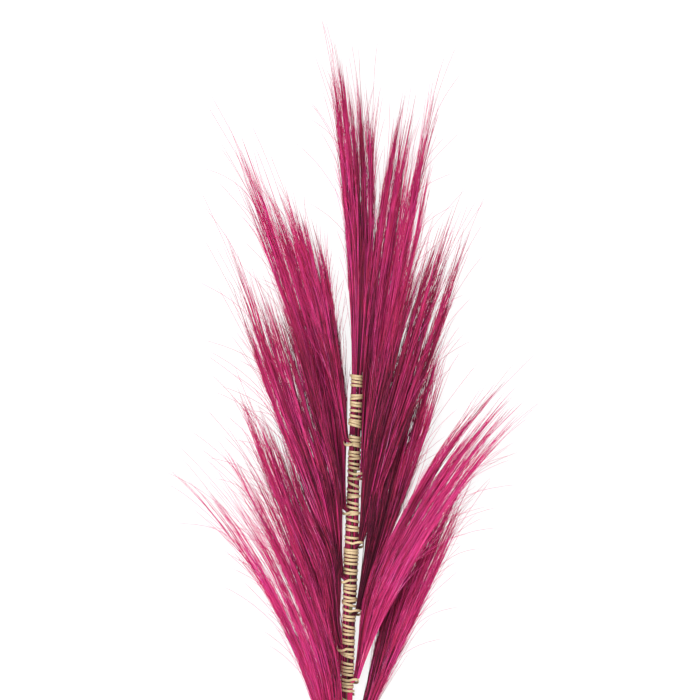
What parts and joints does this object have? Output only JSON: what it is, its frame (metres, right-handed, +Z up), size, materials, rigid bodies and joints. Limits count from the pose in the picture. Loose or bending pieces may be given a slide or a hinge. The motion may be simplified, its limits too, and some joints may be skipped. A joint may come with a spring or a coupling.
{
  "type": "bundle of dried grass",
  "caption": "Branch of fine dyed dried grass: tufts tied one above another along a natural reed stick and bound with split cane, lying on its back.",
  "frame": {"origin": "middle of the lying bundle's footprint, on the surface that it lies on", "axes": "+Y runs up the stem from the cut end of the stick to the tips, +Z is up off the surface, and +X is the right-hand side seen from above"},
  "size_m": [0.3824, 1.1036, 0.0449],
  "materials": {
    "bright_grass": "silky dyed grass",
    "deep_grass": "silky dyed grass",
    "split_cane": "satin",
    "reed": "satin"
  },
  "bodies": {
    "root": {"reed_stick": "reed", "tuft_top": "deep_grass", "tuft_left_1": "deep_grass", "tuft_right_1": "bright_grass", "tuft_left_2": "bright_grass", "tuft_right_2": "bright_grass", "tuft_left_3": "deep_grass", "tuft_right_3": "deep_grass", "tuft_left_4": "deep_grass", "tuft_right_4": "bright_grass", "tuft_left_5": "deep_grass", "tuft_right_5": "deep_grass", "tuft_left_6": "bright_grass", "binding_strip_1": "split_cane", "binding_strip_2": "split_cane", "binding_strip_3": "split_cane"}
  },
  "joints": []
}
